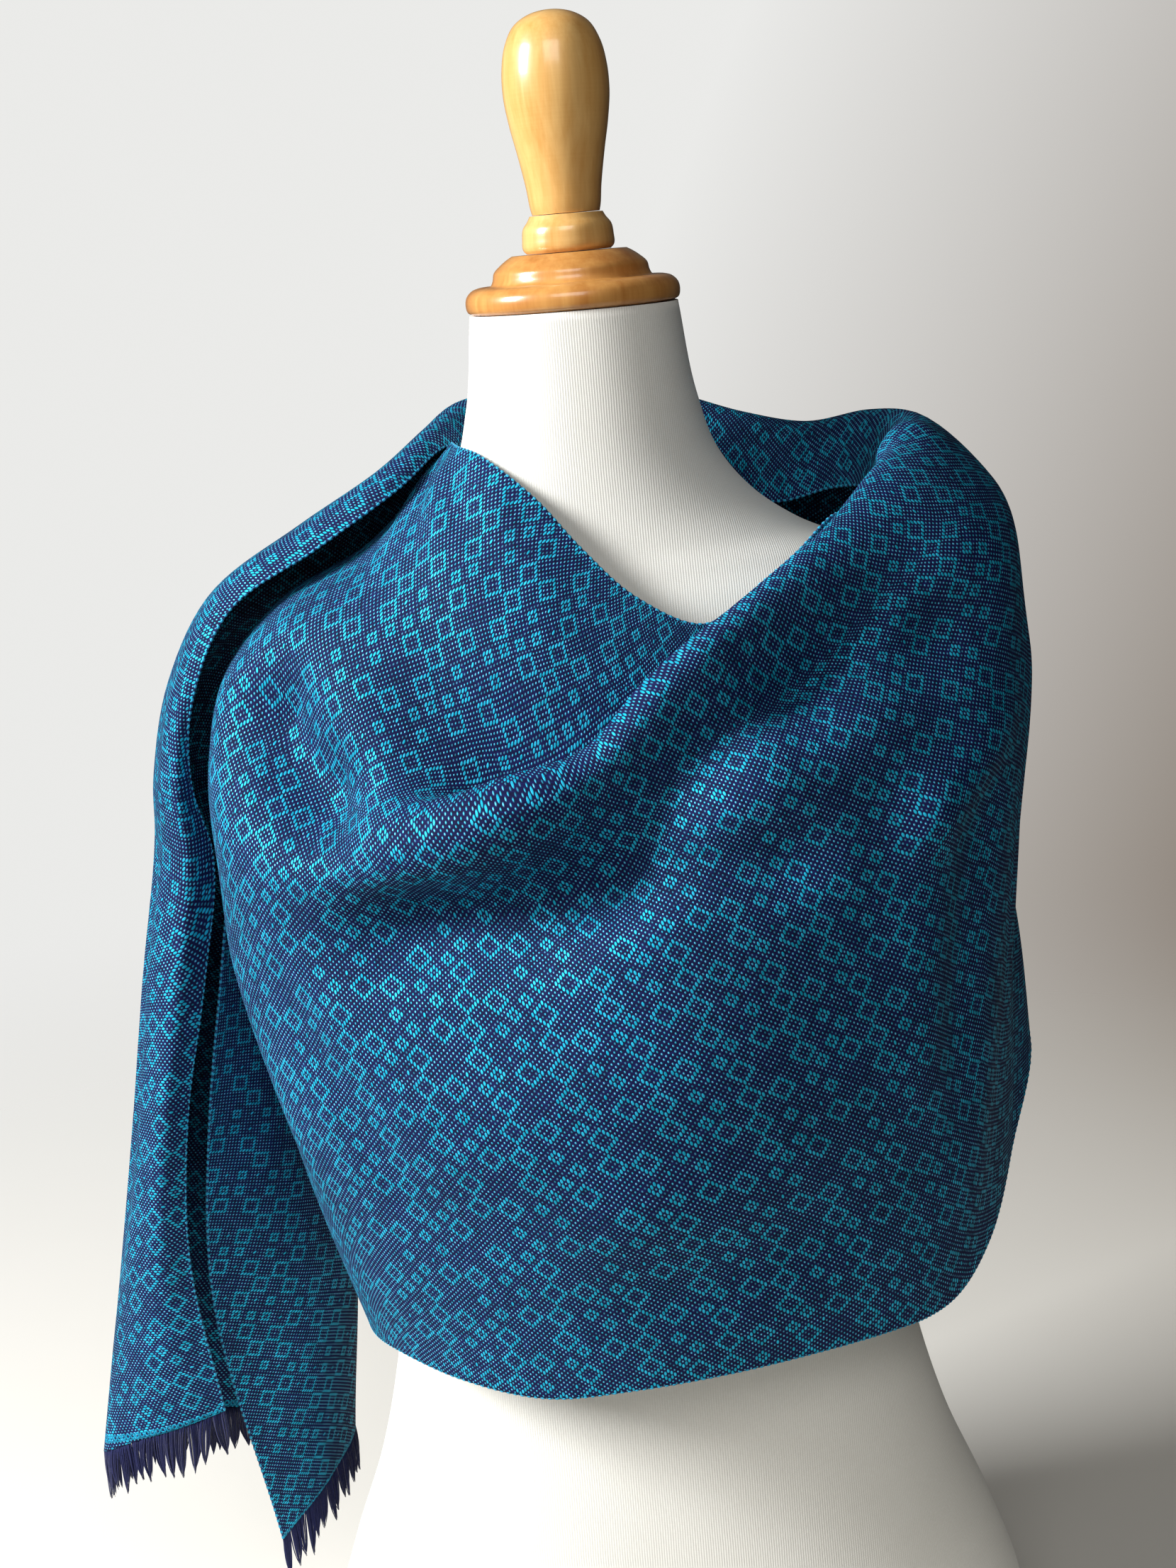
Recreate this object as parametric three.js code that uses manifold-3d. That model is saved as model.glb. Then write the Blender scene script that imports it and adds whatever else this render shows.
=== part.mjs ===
// A woven stole, worn wound once round a limbless dress form with a turned wooden neck cap.
// Millimetres, +Z up, the form faces -Y, +X is the wearer's left.
// The origin is the centre of the form's flat underside.
import * as THREE from 'three';
import { mergeVertices } from 'three/addons/utils/BufferGeometryUtils.js';
import Module from 'manifold-3d';

// ---- Driving dimensions -------------------------------------------------------------------
const WALL = 2.0;             // thickness of the cloth
const SEAM = 0.3;             // gap between neighbouring pieces
const NECK_TOP = 780;         // height of the form's neck
const CAP_RADIUS = 52.5;      // rim of the wooden cap
const HANDLE_TOP = 919;       // height of everything
const FRINGE_LENGTH = 32;     // length of a lock of fringe
const FRINGE_LOCKS = 58;      // locks along the hanging end
const LOCK_RADIUS = 1.9;      // widest half-thickness of a lock
const STRIP = 3.0;            // height of the strip that the locks grow from

const COLOURS = {
  cloth: { color: 0x20447a, roughness: 0.85, metalness: 0 },
  fringe: { color: 0x1b2350, roughness: 0.9, metalness: 0 },
  jersey: { color: 0xe9e4da, roughness: 0.9, metalness: 0 },
  wood: { color: 0xc98a35, roughness: 0.35, metalness: 0 },
};

// The form, one row for each level: half width, depth to the front, depth to the back.
const FORM_LEVELS = [
  { z: 0, side: 186, front: 112, back: 122 },
  { z: 12, side: 193, front: 118, back: 128 },
  { z: 70, side: 192, front: 118, back: 130 },
  { z: 116, side: 178, front: 112, back: 126 },
  { z: 171, side: 157, front: 104, back: 112 },
  { z: 224, side: 143, front: 97, back: 98 },
  { z: 270, side: 135, front: 94, back: 92 },
  { z: 330, side: 141, front: 101, back: 93 },
  { z: 400, side: 152, front: 121, back: 98 },
  { z: 460, side: 160, front: 128, back: 102 },
  { z: 520, side: 165, front: 111, back: 106 },
  { z: 575, side: 168, front: 92, back: 107 },
  { z: 612, side: 169, front: 79, back: 100 },
  { z: 638, side: 157, front: 73, back: 88 },
  { z: 655, side: 131, front: 67, back: 78 },
  { z: 669, side: 103, front: 62, back: 71 },
  { z: 686, side: 81, front: 58, back: 65 },
  { z: 708, side: 65, front: 55, back: 60 },
  { z: 735, side: 57, front: 53, back: 56 },
  { z: NECK_TOP, side: 51, front: 50, back: 51 },
];

// The wound stretches, one upright section for each compass angle about the form's axis
// (0 is the front, 90 the wearer's left). Each named place is [distance from the axis, height].
// over and under are the two places of the layer that is tucked in behind the fold.
const SECTIONS = [
  { at: -112, over: [70, 715], under: [112, 671], tuck: [148, 644], crest: [176, 607],
    valley: [187, 562], chest: [186, 495], bulge: [179, 425], waist: [168, 350], hem: [150, 268] },
  { at: -98, over: [67, 719], under: [112, 673.2], tuck: [156, 649], crest: [185, 615],
    valley: [197, 572], chest: [196, 498], bulge: [187, 425], waist: [173, 350], hem: [153, 267] },
  { at: -84, over: [64.4, 719], under: [112, 673.2], tuck: [160, 648], crest: [190, 615],
    valley: [202, 574], chest: [200, 500], bulge: [190, 425], waist: [175, 350], hem: [154, 268] },
  { at: -70, over: [65, 719], under: [110, 670], tuck: [158, 637], crest: [186, 594],
    valley: [200, 552], chest: [200, 490], bulge: [191, 425], waist: [177, 350], hem: [157, 273] },
  { at: -55, over: [65, 717], under: [107, 663], tuck: [147, 614], crest: [169, 566],
    valley: [178, 527], chest: [186, 480], bulge: [187, 425], waist: [175, 350], hem: [160, 280] },
  { at: -40, over: [66, 710], under: [104, 652], tuck: [134, 576], crest: [153, 561],
    valley: [153, 515], chest: [167, 470], bulge: [176, 425], waist: [168, 350], hem: [155, 276] },
  { at: -22, over: [68, 695], under: [101, 635], tuck: [120, 551], crest: [138, 565],
    valley: [140, 514], chest: [154, 468], bulge: [168, 425], waist: [162, 350], hem: [151, 273] },
  { at: -5, over: [74, 672], under: [99, 618], tuck: [112, 548], crest: [123, 575],
    valley: [135, 534], chest: [151, 480], bulge: [164, 428], waist: [160, 350], hem: [149, 278] },
  { at: 12, over: [84, 648], under: [99, 608], tuck: [109, 566], crest: [118, 607],
    valley: [136, 570], chest: [151, 503], bulge: [163, 435], waist: [160, 352], hem: [149, 281] },
  { at: 30, over: [96, 633], under: [101, 612], tuck: [109, 592], crest: [119, 635],
    valley: [145, 600], chest: [157, 525], bulge: [166, 442], waist: [163, 355], hem: [152, 281] },
  { at: 48, over: [107, 650], under: [110, 632], tuck: [118, 618], crest: [127, 662],
    valley: [160, 630], chest: [171, 545], bulge: [175, 450], waist: [170, 358], hem: [158, 276] },
  { at: 57, over: [114, 660], under: [118, 648], tuck: [125, 642], crest: [134, 677],
    valley: [169, 646], chest: [182, 557], bulge: [182, 455], waist: [176, 360], hem: [162, 272] },
  { at: 68, over: [124, 674], under: [128, 668], tuck: [133, 668], crest: [142, 693],
    valley: [184, 664], chest: [198, 575], bulge: [190, 465], waist: [183, 364], hem: [168, 270] },
  { at: 82, over: [134, 673], under: [138, 681], tuck: [143, 691], crest: [154, 707],
    valley: [200, 676], chest: [210, 600], bulge: [201, 500], waist: [190, 380], hem: [182, 282] },
  { at: 95, over: [139, 680], under: [143, 689], tuck: [148, 700], crest: [157, 714],
    valley: [200, 683], chest: [211, 605], bulge: [205, 502], waist: [206, 398], hem: [202, 312] },
  { at: 106, over: [130, 678], under: [134, 687], tuck: [138, 698], crest: [145, 713],
    valley: [193, 684], chest: [208, 602], bulge: [214, 503], waist: [226, 424], hem: [229, 370] },
  { at: 118, over: [113, 671], under: [116, 680], tuck: [119, 690], crest: [126, 708],
    valley: [174, 682], chest: [197, 602], bulge: [206, 512], waist: [215, 444], hem: [218, 392] },
  { at: 132, over: [101, 673], under: [102, 684], tuck: [104, 697], crest: [110, 715],
    valley: [152, 686], chest: [175, 602], bulge: [184, 520], waist: [190, 458], hem: [192, 408] },
  { at: 150, over: [90, 680], under: [90, 693], tuck: [92, 708], crest: [99, 728],
    valley: [131, 694], chest: [153, 602], bulge: [163, 526], waist: [168, 468], hem: [169, 424] },
  { at: 172, over: [84, 686], under: [83, 701], tuck: [84, 718], crest: [92, 738],
    valley: [120, 698], chest: [141, 605], bulge: [150, 530], waist: [154, 478], hem: [155, 438] },
  { at: 194, over: [80, 696], under: [78, 709], tuck: [79, 722], crest: [87, 738],
    valley: [119, 700], chest: [146, 608], bulge: [156, 538], waist: [160, 490], hem: [161, 452] },
];

// The stretch over the right shoulder and the hanging end, one section for each row, in X, Y, Z.
// The same named places go round the hanging end: front edge, left fold, back, right fold, rear edge.
const SHOULDER = [
  { name: 'behind the neck', over: [-50, 55, 709], under: [-51, 55, 717], tuck: [-54, 58, 727],
    crest: [-61, 66, 734], valley: [-85, 94, 704], chest: [-108, 118, 622],
    bulge: [-117, 127, 548], waist: [-121, 131, 505], hem: [-122, 132, 466] },
  { name: 'beside the neck', over: [-70, 16, 717], under: [-71, 19, 722], tuck: [-73, 26, 727],
    crest: [-77, 38, 727], valley: [-98, 74, 702], chest: [-121, 108, 628],
    bulge: [-131, 123, 556], waist: [-136, 129, 512], hem: [-138, 131, 473] },
  { name: 'inner shoulder', over: [-92, -15, 702], under: [-93, -11, 708], tuck: [-96, -3, 712],
    crest: [-101, 11, 710], valley: [-118, 51, 693], chest: [-140, 96, 634],
    bulge: [-151, 117, 566], waist: [-156, 125, 519], hem: [-158, 128, 481] },
  { name: 'mid shoulder', over: [-134, -23, 677], under: [-136, -19, 683], tuck: [-139, -10, 687],
    crest: [-143, 4, 686], valley: [-153, 42, 677], chest: [-171, 86, 635],
    bulge: [-181, 108, 580], waist: [-187, 117, 535], hem: [-190, 121, 494] },
  { name: 'shoulder tip', over: [-183, -23, 648], under: [-185, -19, 653], tuck: [-189, -10, 656],
    crest: [-194, 3, 653], valley: [-202, 36, 646], chest: [-209, 76, 616],
    bulge: [-212, 98, 578], waist: [-214, 108, 541], hem: [-213, 112, 506] },
  { name: 'upper arm', over: [-205, -22, 607], under: [-208, -21, 611], tuck: [-214, -12, 613],
    crest: [-219, 3, 611], valley: [-226, 32, 606], chest: [-229, 66, 590],
    bulge: [-225, 90, 566], waist: [-220, 102, 540], hem: [-213, 106, 512] },
  { name: 'arm', over: [-213, -10, 560], under: [-219, -15, 562], tuck: [-227, -8, 563],
    crest: [-233, 6, 561], valley: [-240, 36, 558], chest: [-239, 70, 551],
    bulge: [-227, 95, 539], waist: [-211, 104, 525], hem: [-202, 92, 510] },
];
const TAIL = [
  { name: 'top of the end', over: [-209, 4, 520], under: [-220, -6, 522], tuck: [-232, 4, 522],
    crest: [-242, 26, 520], valley: [-247, 60, 517], chest: [-238, 90, 512],
    bulge: [-212, 100, 505], waist: [-200, 76, 500], hem: [-205, 28, 500] },
  { name: 'upper end', over: [-221, 0, 452], under: [-234, -6, 453], tuck: [-247, 4, 452],
    crest: [-259, 30, 450], valley: [-258, 68, 448], chest: [-238, 96, 444],
    bulge: [-200, 98, 440], waist: [-192, 62, 440], hem: [-215, 12, 444] },
  { name: 'middle of the end', over: [-238, -4, 380], under: [-250, -9, 379], tuck: [-262, 2, 377],
    crest: [-274, 30, 374], valley: [-268, 74, 371], chest: [-238, 102, 367],
    bulge: [-184, 98, 362], waist: [-189, 52, 364], hem: [-229, 8, 372] },
  { name: 'lower end', over: [-247, -6, 300], under: [-262, -9, 297], tuck: [-278, 2, 293],
    crest: [-292, 30, 287], valley: [-282, 76, 282], chest: [-242, 106, 276],
    bulge: [-172, 104, 270], waist: [-189, 50, 272], hem: [-239, 6, 286] },
  { name: 'end', over: [-239, -6, 208], under: [-264, -6, 200], tuck: [-291, 4, 189],
    crest: [-317, 30, 170], valley: [-301, 74, 162], chest: [-262, 100, 152],
    bulge: [-199, 100, 136], waist: [-203, 54, 130], hem: [-221, 8, 119] },
];

// ---- Curves and surfaces ------------------------------------------------------------------
// A smooth curve through points, with each tangent weighted by the chords on both sides.
function curvePoint(points, place) {
  const last = points.length - 1;
  const i = Math.min(Math.floor(place), last - 1);
  const u = place - i;
  const slope = (k) => {
    if (k === 0) return points[1].clone().sub(points[0]).normalize();
    if (k === last) return points[last].clone().sub(points[last - 1]).normalize();
    const before = points[k].clone().sub(points[k - 1]);
    const after = points[k + 1].clone().sub(points[k]);
    const a = before.length();
    const b = after.length();
    return before.multiplyScalar(b / a).addScaledVector(after, a / b).divideScalar(a + b);
  };
  const chord = points[i].distanceTo(points[i + 1]);
  const u2 = u * u;
  const u3 = u2 * u;
  return points[i].clone().multiplyScalar(2 * u3 - 3 * u2 + 1)
    .addScaledVector(points[i + 1], 3 * u2 - 2 * u3)
    .addScaledVector(slope(i), (u3 - 2 * u2 + u) * chord)
    .addScaledVector(slope(i + 1), (u3 - u2) * chord);
}

function atAngle(degrees, [reach, height]) {
  const angle = THREE.MathUtils.degToRad(degrees);
  return new THREE.Vector3(reach * Math.sin(angle), -reach * Math.cos(angle), height);
}

const PLACES = ['over', 'under', 'tuck', 'crest', 'valley', 'chest', 'bulge', 'waist', 'hem'];

// Every section as a list of points from the top edge to the hem.
const ribs = [
  ...SECTIONS.map((row) => PLACES.map((place) => atAngle(row.at, row[place]))),
  ...[...SHOULDER, ...TAIL].map((row) => PLACES.map((place) => new THREE.Vector3(...row[place]))),
];

// A surface through the ribs: along counts ribs, across counts named places from the top edge.
function sheetPoint(along, across) {
  return curvePoint(ribs.map((rib) => curvePoint(rib, across)), along);
}

// The direction out of the cloth's outer face.
function sheetNormal(along, across) {
  const step = 0.01;
  const last = ribs.length - 1;
  const end = ribs[0].length - 1;
  const along1 = Math.min(along + step, last);
  const along0 = Math.max(along - step, 0);
  const across1 = Math.min(across + step, end);
  const across0 = Math.max(across - step, 0);
  const down = sheetPoint(along, across1).sub(sheetPoint(along, across0));
  const round = sheetPoint(along1, across).sub(sheetPoint(along0, across));
  return down.cross(round).normalize();
}

const steps = (from, to, each) => {
  const count = Math.round((to - from) * each);
  return Array.from({ length: count + 1 }, (_, i) => from + ((to - from) * i) / count);
};

// A closed wall over a grid of outer points: the inner points lie one wall thickness inside.
// Edges named in trim are drawn back by half a seam.
function wallGeometry(alongs, acrosses, trim) {
  const outer = alongs.map((a) => acrosses.map((b) => sheetPoint(a, b)));
  const inner = alongs.map((a, i) => acrosses.map((b, j) => (
    outer[i][j].clone().addScaledVector(sheetNormal(a, b), -WALL))));
  const columns = alongs.length - 1;
  const rows = acrosses.length - 1;
  const drawBack = (i, j, nextI, nextJ) => {
    const back = outer[nextI][nextJ].clone().sub(outer[i][j]).setLength(SEAM / 2);
    outer[i][j].add(back);
    inner[i][j].add(back);
  };
  for (let j = 0; j <= rows; j += 1) {
    if (trim.start) drawBack(0, j, 1, j);
    if (trim.end) drawBack(columns, j, columns - 1, j);
  }
  for (let i = 0; i <= columns; i += 1) {
    if (trim.top) drawBack(i, 0, i, 1);
    if (trim.foot) drawBack(i, rows, i, rows - 1);
  }
  return closedSlab(outer, inner);
}

function closedSlab(outer, inner) {
  const columns = outer.length;
  const rows = outer[0].length;
  const points = [...outer.flat(), ...inner.flat()];
  const face = (side, i, j) => side * columns * rows + i * rows + j;
  const index = [];
  const quad = (a, b, c, d) => index.push(a, b, c, a, c, d);
  for (let i = 0; i < columns - 1; i += 1) {
    for (let j = 0; j < rows - 1; j += 1) {
      quad(face(0, i, j), face(0, i, j + 1), face(0, i + 1, j + 1), face(0, i + 1, j));
      quad(face(1, i, j), face(1, i + 1, j), face(1, i + 1, j + 1), face(1, i, j + 1));
    }
    quad(face(0, i, 0), face(0, i + 1, 0), face(1, i + 1, 0), face(1, i, 0));
    quad(face(0, i, rows - 1), face(1, i, rows - 1), face(1, i + 1, rows - 1), face(0, i + 1, rows - 1));
  }
  for (let j = 0; j < rows - 1; j += 1) {
    const end = columns - 1;
    quad(face(0, 0, j), face(1, 0, j), face(1, 0, j + 1), face(0, 0, j + 1));
    quad(face(0, end, j), face(0, end, j + 1), face(1, end, j + 1), face(1, end, j));
  }
  return indexed(points, index);
}

function indexed(points, index) {
  const geometry = new THREE.BufferGeometry();
  geometry.setAttribute('position', new THREE.Float32BufferAttribute(points.flatMap((p) => [p.x, p.y, p.z]), 3));
  geometry.setIndex(index);
  return geometry;
}

// ---- Dress form ---------------------------------------------------------------------------
const SIDES = 36;
const FULLNESS = 2.25;        // 2 is an oval, more is squarer

function formGeometry() {
  const levels = steps(0, FORM_LEVELS.length - 1, 1.5);
  const table = FORM_LEVELS.map((row) => new THREE.Vector3(row.side, row.front, row.z));
  const backs = FORM_LEVELS.map((row) => new THREE.Vector3(row.side, row.back, row.z));
  const points = [];
  for (const level of levels) {
    const row = curvePoint(table, level);
    const back = curvePoint(backs, level).y;
    for (let k = 0; k < SIDES; k += 1) {
      const angle = (2 * Math.PI * k) / SIDES;
      const bend = (value) => Math.sign(value) * Math.abs(value) ** (2 / FULLNESS);
      const depth = Math.sin(angle) > 0 ? back : row.y;
      points.push(new THREE.Vector3(row.x * bend(Math.cos(angle)), depth * bend(Math.sin(angle)), row.z));
    }
  }
  return stackedRings(points, levels.length, SIDES);
}

function stackedRings(points, rings, sides) {
  const index = [];
  for (let i = 0; i < rings - 1; i += 1) {
    for (let k = 0; k < sides; k += 1) {
      const a = i * sides + k;
      const b = i * sides + ((k + 1) % sides);
      index.push(a, b, b + sides, a, b + sides, a + sides);
    }
  }
  const foot = points.length;
  const top = foot + 1;
  points.push(new THREE.Vector3(0, 0, points[0].z));
  points.push(new THREE.Vector3(0, 0, points[(rings - 1) * sides].z));
  for (let k = 0; k < sides; k += 1) {
    const next = (k + 1) % sides;
    index.push(foot, next, k);
    index.push(top, (rings - 1) * sides + k, (rings - 1) * sides + next);
  }
  return indexed(points, index);
}

function turned(profile, segments) {
  const geometry = new THREE.LatheGeometry(profile.map(([r, z]) => new THREE.Vector2(r, z)), segments);
  geometry.rotateX(Math.PI / 2);
  geometry.deleteAttribute('normal');
  geometry.deleteAttribute('uv');
  return mergeVertices(geometry, 1e-3);
}

const CAP_FOOT = NECK_TOP + SEAM;
const COLLAR_FOOT = 807;
const HANDLE_FOOT = 825;
const CAP = [
  [0, CAP_FOOT], [49, CAP_FOOT], [51.5, CAP_FOOT + 1.2], [CAP_RADIUS, CAP_FOOT + 5], [51.8, CAP_FOOT + 8.5],
  [49, CAP_FOOT + 11.5], [45, CAP_FOOT + 12.8], [39.5, CAP_FOOT + 13.2], [38.5, CAP_FOOT + 15],
  [37.5, CAP_FOOT + 19], [34, CAP_FOOT + 22.5], [29.5, COLLAR_FOOT - SEAM - 0.8], [28, COLLAR_FOOT - SEAM],
  [0, COLLAR_FOOT - SEAM],
];
const COLLAR = [
  [0, COLLAR_FOOT], [20.5, COLLAR_FOOT], [22, COLLAR_FOOT + 1.6], [22.3, COLLAR_FOOT + 7],
  [21.5, COLLAR_FOOT + 12], [19, COLLAR_FOOT + 15.5], [17.8, HANDLE_FOOT - SEAM], [0, HANDLE_FOOT - SEAM],
];
const HANDLE = [
  [0, HANDLE_FOOT], [16.4, HANDLE_FOOT], [16.9, HANDLE_FOOT + 2], [18.2, HANDLE_FOOT + 12],
  [21, HANDLE_FOOT + 28], [24, HANDLE_FOOT + 43], [25.6, HANDLE_FOOT + 56], [25.2, HANDLE_FOOT + 68],
  [22.8, HANDLE_FOOT + 79], [18, HANDLE_FOOT + 87.5], [11, HANDLE_TOP - 2], [5, HANDLE_TOP - 0.4], [0, HANDLE_TOP],
];

// ---- Fringe -------------------------------------------------------------------------------
// The strip lies along the end's cut edge; each lock grows down out of it and tapers to a tip.
const DOWN = new THREE.Vector3(0, 0, -1);

function fringeFrame(place) {
  const end = ribs.length - 1;
  const point = sheetPoint(end, place);
  const ahead = sheetPoint(end, Math.min(place + 0.02, PLACES.length - 1));
  const behind = sheetPoint(end, Math.max(place - 0.02, 0));
  const along = ahead.sub(behind).normalize();
  const out = sheetNormal(end, place);
  return { point, along, out, fall: out.clone().cross(along).normalize() };
}

function stripGeometry() {
  const rings = steps(0, PLACES.length - 1, 3).map((place) => {
    const { point, out, fall } = fringeFrame(place);
    const top = point.clone().addScaledVector(fall, SEAM);
    const foot = top.clone().addScaledVector(fall, STRIP);
    return [top, foot, top.clone().addScaledVector(out, -WALL), foot.clone().addScaledVector(out, -WALL)];
  });
  return closedSlab(rings.map((ring) => ring.slice(2)), rings.map((ring) => ring.slice(0, 2)));
}

function lockGeometry({ point, along, out, fall }, lean) {
  const side = along.clone().setZ(0).normalize();
  const front = new THREE.Vector3(-side.y, side.x, 0);
  const root = point.clone().addScaledVector(fall, SEAM + STRIP / 2).addScaledVector(out, -WALL / 2);
  const rings = [[0, 0.5], [0.4, 1], [1, 0.2]];
  const points = [];
  for (const [way, width] of rings) {
    const centre = root.clone().addScaledVector(DOWN, way * FRINGE_LENGTH).addScaledVector(side, lean * way * way);
    for (let k = 0; k < 3; k += 1) {
      const angle = (2 * Math.PI * k) / 3;
      const spoke = side.clone().multiplyScalar(Math.cos(angle)).addScaledVector(front, Math.sin(angle));
      points.push(centre.clone().addScaledVector(spoke, width * LOCK_RADIUS));
    }
  }
  const index = [];
  const last = 3 * (rings.length - 1);
  for (let i = 0; i < rings.length - 1; i += 1) {
    for (let k = 0; k < 3; k += 1) {
      const a = 3 * i + k;
      const b = 3 * i + ((k + 1) % 3);
      index.push(a, a + 3, b + 3, a, b + 3, b);
    }
  }
  index.push(0, 1, 2, last, last + 2, last + 1);
  return indexed(points, index);
}

// Places along the cut edge, evenly spaced by length.
function lockPlaces() {
  const places = steps(0, PLACES.length - 1, 40);
  const points = places.map((place) => sheetPoint(ribs.length - 1, place));
  const lengths = [0];
  for (let i = 1; i < points.length; i += 1) lengths.push(lengths[i - 1] + points[i].distanceTo(points[i - 1]));
  const spacing = lengths[lengths.length - 1] / FRINGE_LOCKS;
  return Array.from({ length: FRINGE_LOCKS }, (_, k) => (
    places[lengths.findIndex((length) => length >= spacing * (k + 0.5))]));
}

function fringeGeometry(wasm) {
  const solid = (geometry) => {
    const mesh = new wasm.Mesh({
      numProp: 3,
      vertProperties: Float32Array.from(geometry.attributes.position.array),
      triVerts: Uint32Array.from(geometry.index.array),
    });
    return new wasm.Manifold(mesh);
  };
  const locks = lockPlaces().map((place, k) => solid(lockGeometry(fringeFrame(place), 1.2 * Math.sin(2.4 * k))));
  const mesh = locks.reduce((fringe, lock) => fringe.add(lock), solid(stripGeometry())).getMesh();
  const geometry = new THREE.BufferGeometry();
  geometry.setAttribute('position', new THREE.Float32BufferAttribute(Array.from(mesh.vertProperties), 3));
  geometry.setIndex(Array.from(mesh.triVerts));
  return geometry;
}

// ---- Assembly -----------------------------------------------------------------------------
const wasm = await Module();
wasm.setup();

const group = new THREE.Group();
function add(name, geometry, finish) {
  const mesh = new THREE.Mesh(geometry, new THREE.MeshStandardMaterial(finish));
  mesh.name = name;
  group.add(mesh);
}

// Places along the cloth where one stretch ends and the next begins, counted in sections.
const FRONT_END = SECTIONS.findIndex((row) => row.at === 57);
const LEFT_END = SECTIONS.findIndex((row) => row.at === 118);
const BACK_END = SECTIONS.length;
const SHOULDER_END = BACK_END + SHOULDER.length;
const TAIL_END = ribs.length - 1;

// Places across the cloth where the grid has its lines. The upper and lower front part just past the tuck.
const PARTING = 2 + 1 / 3;
const UPPER_ACROSS = steps(0, PARTING, 3);
const LOWER_ACROSS = steps(PARTING, PLACES.length - 1, 3);
const WHOLE_ACROSS = steps(0, PLACES.length - 1, 3);

const stretches = [
  ['stole_upper_front', steps(0, FRONT_END, 2), UPPER_ACROSS, { end: true, foot: true }],
  ['stole_front', steps(0, FRONT_END, 2), LOWER_ACROSS, { end: true, top: true }],
  ['stole_left_shoulder', steps(FRONT_END, LEFT_END, 2), WHOLE_ACROSS, { start: true, end: true }],
  ['stole_back', steps(LEFT_END, BACK_END, 2), WHOLE_ACROSS, { start: true, end: true }],
  ['stole_right_shoulder', steps(BACK_END, SHOULDER_END, 2), WHOLE_ACROSS, { start: true, end: true }],
  ['stole_tail', steps(SHOULDER_END, TAIL_END, 3), WHOLE_ACROSS, { start: true, end: true }],
];
for (const [name, alongs, acrosses, trim] of stretches) {
  add(name, wallGeometry(alongs, acrosses, trim), COLOURS.cloth);
}
add('stole_fringe', fringeGeometry(wasm), COLOURS.fringe);
add('form_body', formGeometry(), COLOURS.jersey);
add('form_cap', turned(CAP, 28), COLOURS.wood);
add('form_collar', turned(COLLAR, 24), COLOURS.wood);
add('form_handle', turned(HANDLE, 24), COLOURS.wood);

export default group;
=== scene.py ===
"""A handwoven stole on a limbless dress form: the looks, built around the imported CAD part."""
import math
import random

import bpy
import numpy as np
from mathutils import Matrix, Vector


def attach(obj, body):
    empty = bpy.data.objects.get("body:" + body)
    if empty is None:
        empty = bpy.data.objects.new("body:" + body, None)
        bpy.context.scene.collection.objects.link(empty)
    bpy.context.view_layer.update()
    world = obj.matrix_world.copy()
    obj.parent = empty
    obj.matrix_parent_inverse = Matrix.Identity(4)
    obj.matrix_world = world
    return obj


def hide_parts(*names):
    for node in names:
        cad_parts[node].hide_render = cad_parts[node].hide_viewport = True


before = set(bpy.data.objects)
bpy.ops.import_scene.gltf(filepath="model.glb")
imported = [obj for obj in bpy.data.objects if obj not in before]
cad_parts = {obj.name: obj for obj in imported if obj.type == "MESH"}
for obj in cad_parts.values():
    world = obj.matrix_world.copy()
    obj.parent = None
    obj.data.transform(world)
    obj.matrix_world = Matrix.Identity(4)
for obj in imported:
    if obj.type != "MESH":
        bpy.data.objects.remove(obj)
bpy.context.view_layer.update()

MM = 0.001
TINY = 1e-12                  # keeps a length that is divided by above zero
SEED = 7

# ---- Camera ------------------------------------------------------------------------------
LONG_SIDE_PX = 2212
FOCAL_PX = 3180
CAMERA_PLACE = (-0.0125, -1.125, 0.815)
CAMERA_PITCH, CAMERA_ROLL = math.radians(13.7), math.radians(4.8)


def add_camera():
    """The camera that was fitted to the photo: it looks towards +Y, pitched down and rolled."""
    forward = Vector((0, math.cos(CAMERA_PITCH), -math.sin(CAMERA_PITCH)))
    level_up = Vector((0, math.sin(CAMERA_PITCH), math.cos(CAMERA_PITCH)))
    level_right = Vector((1, 0, 0))
    right = math.cos(CAMERA_ROLL) * level_right - math.sin(CAMERA_ROLL) * level_up
    up = math.sin(CAMERA_ROLL) * level_right + math.cos(CAMERA_ROLL) * level_up
    data = bpy.data.cameras.new("camera")
    data.sensor_width = 36
    data.lens = data.sensor_width * FOCAL_PX / LONG_SIDE_PX
    camera = bpy.data.objects.new("camera", data)
    turn = Matrix((right, up, -forward)).transposed().to_4x4()
    camera.matrix_world = Matrix.Translation(CAMERA_PLACE) @ turn
    bpy.context.scene.collection.objects.link(camera)
    bpy.context.scene.camera = camera


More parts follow.
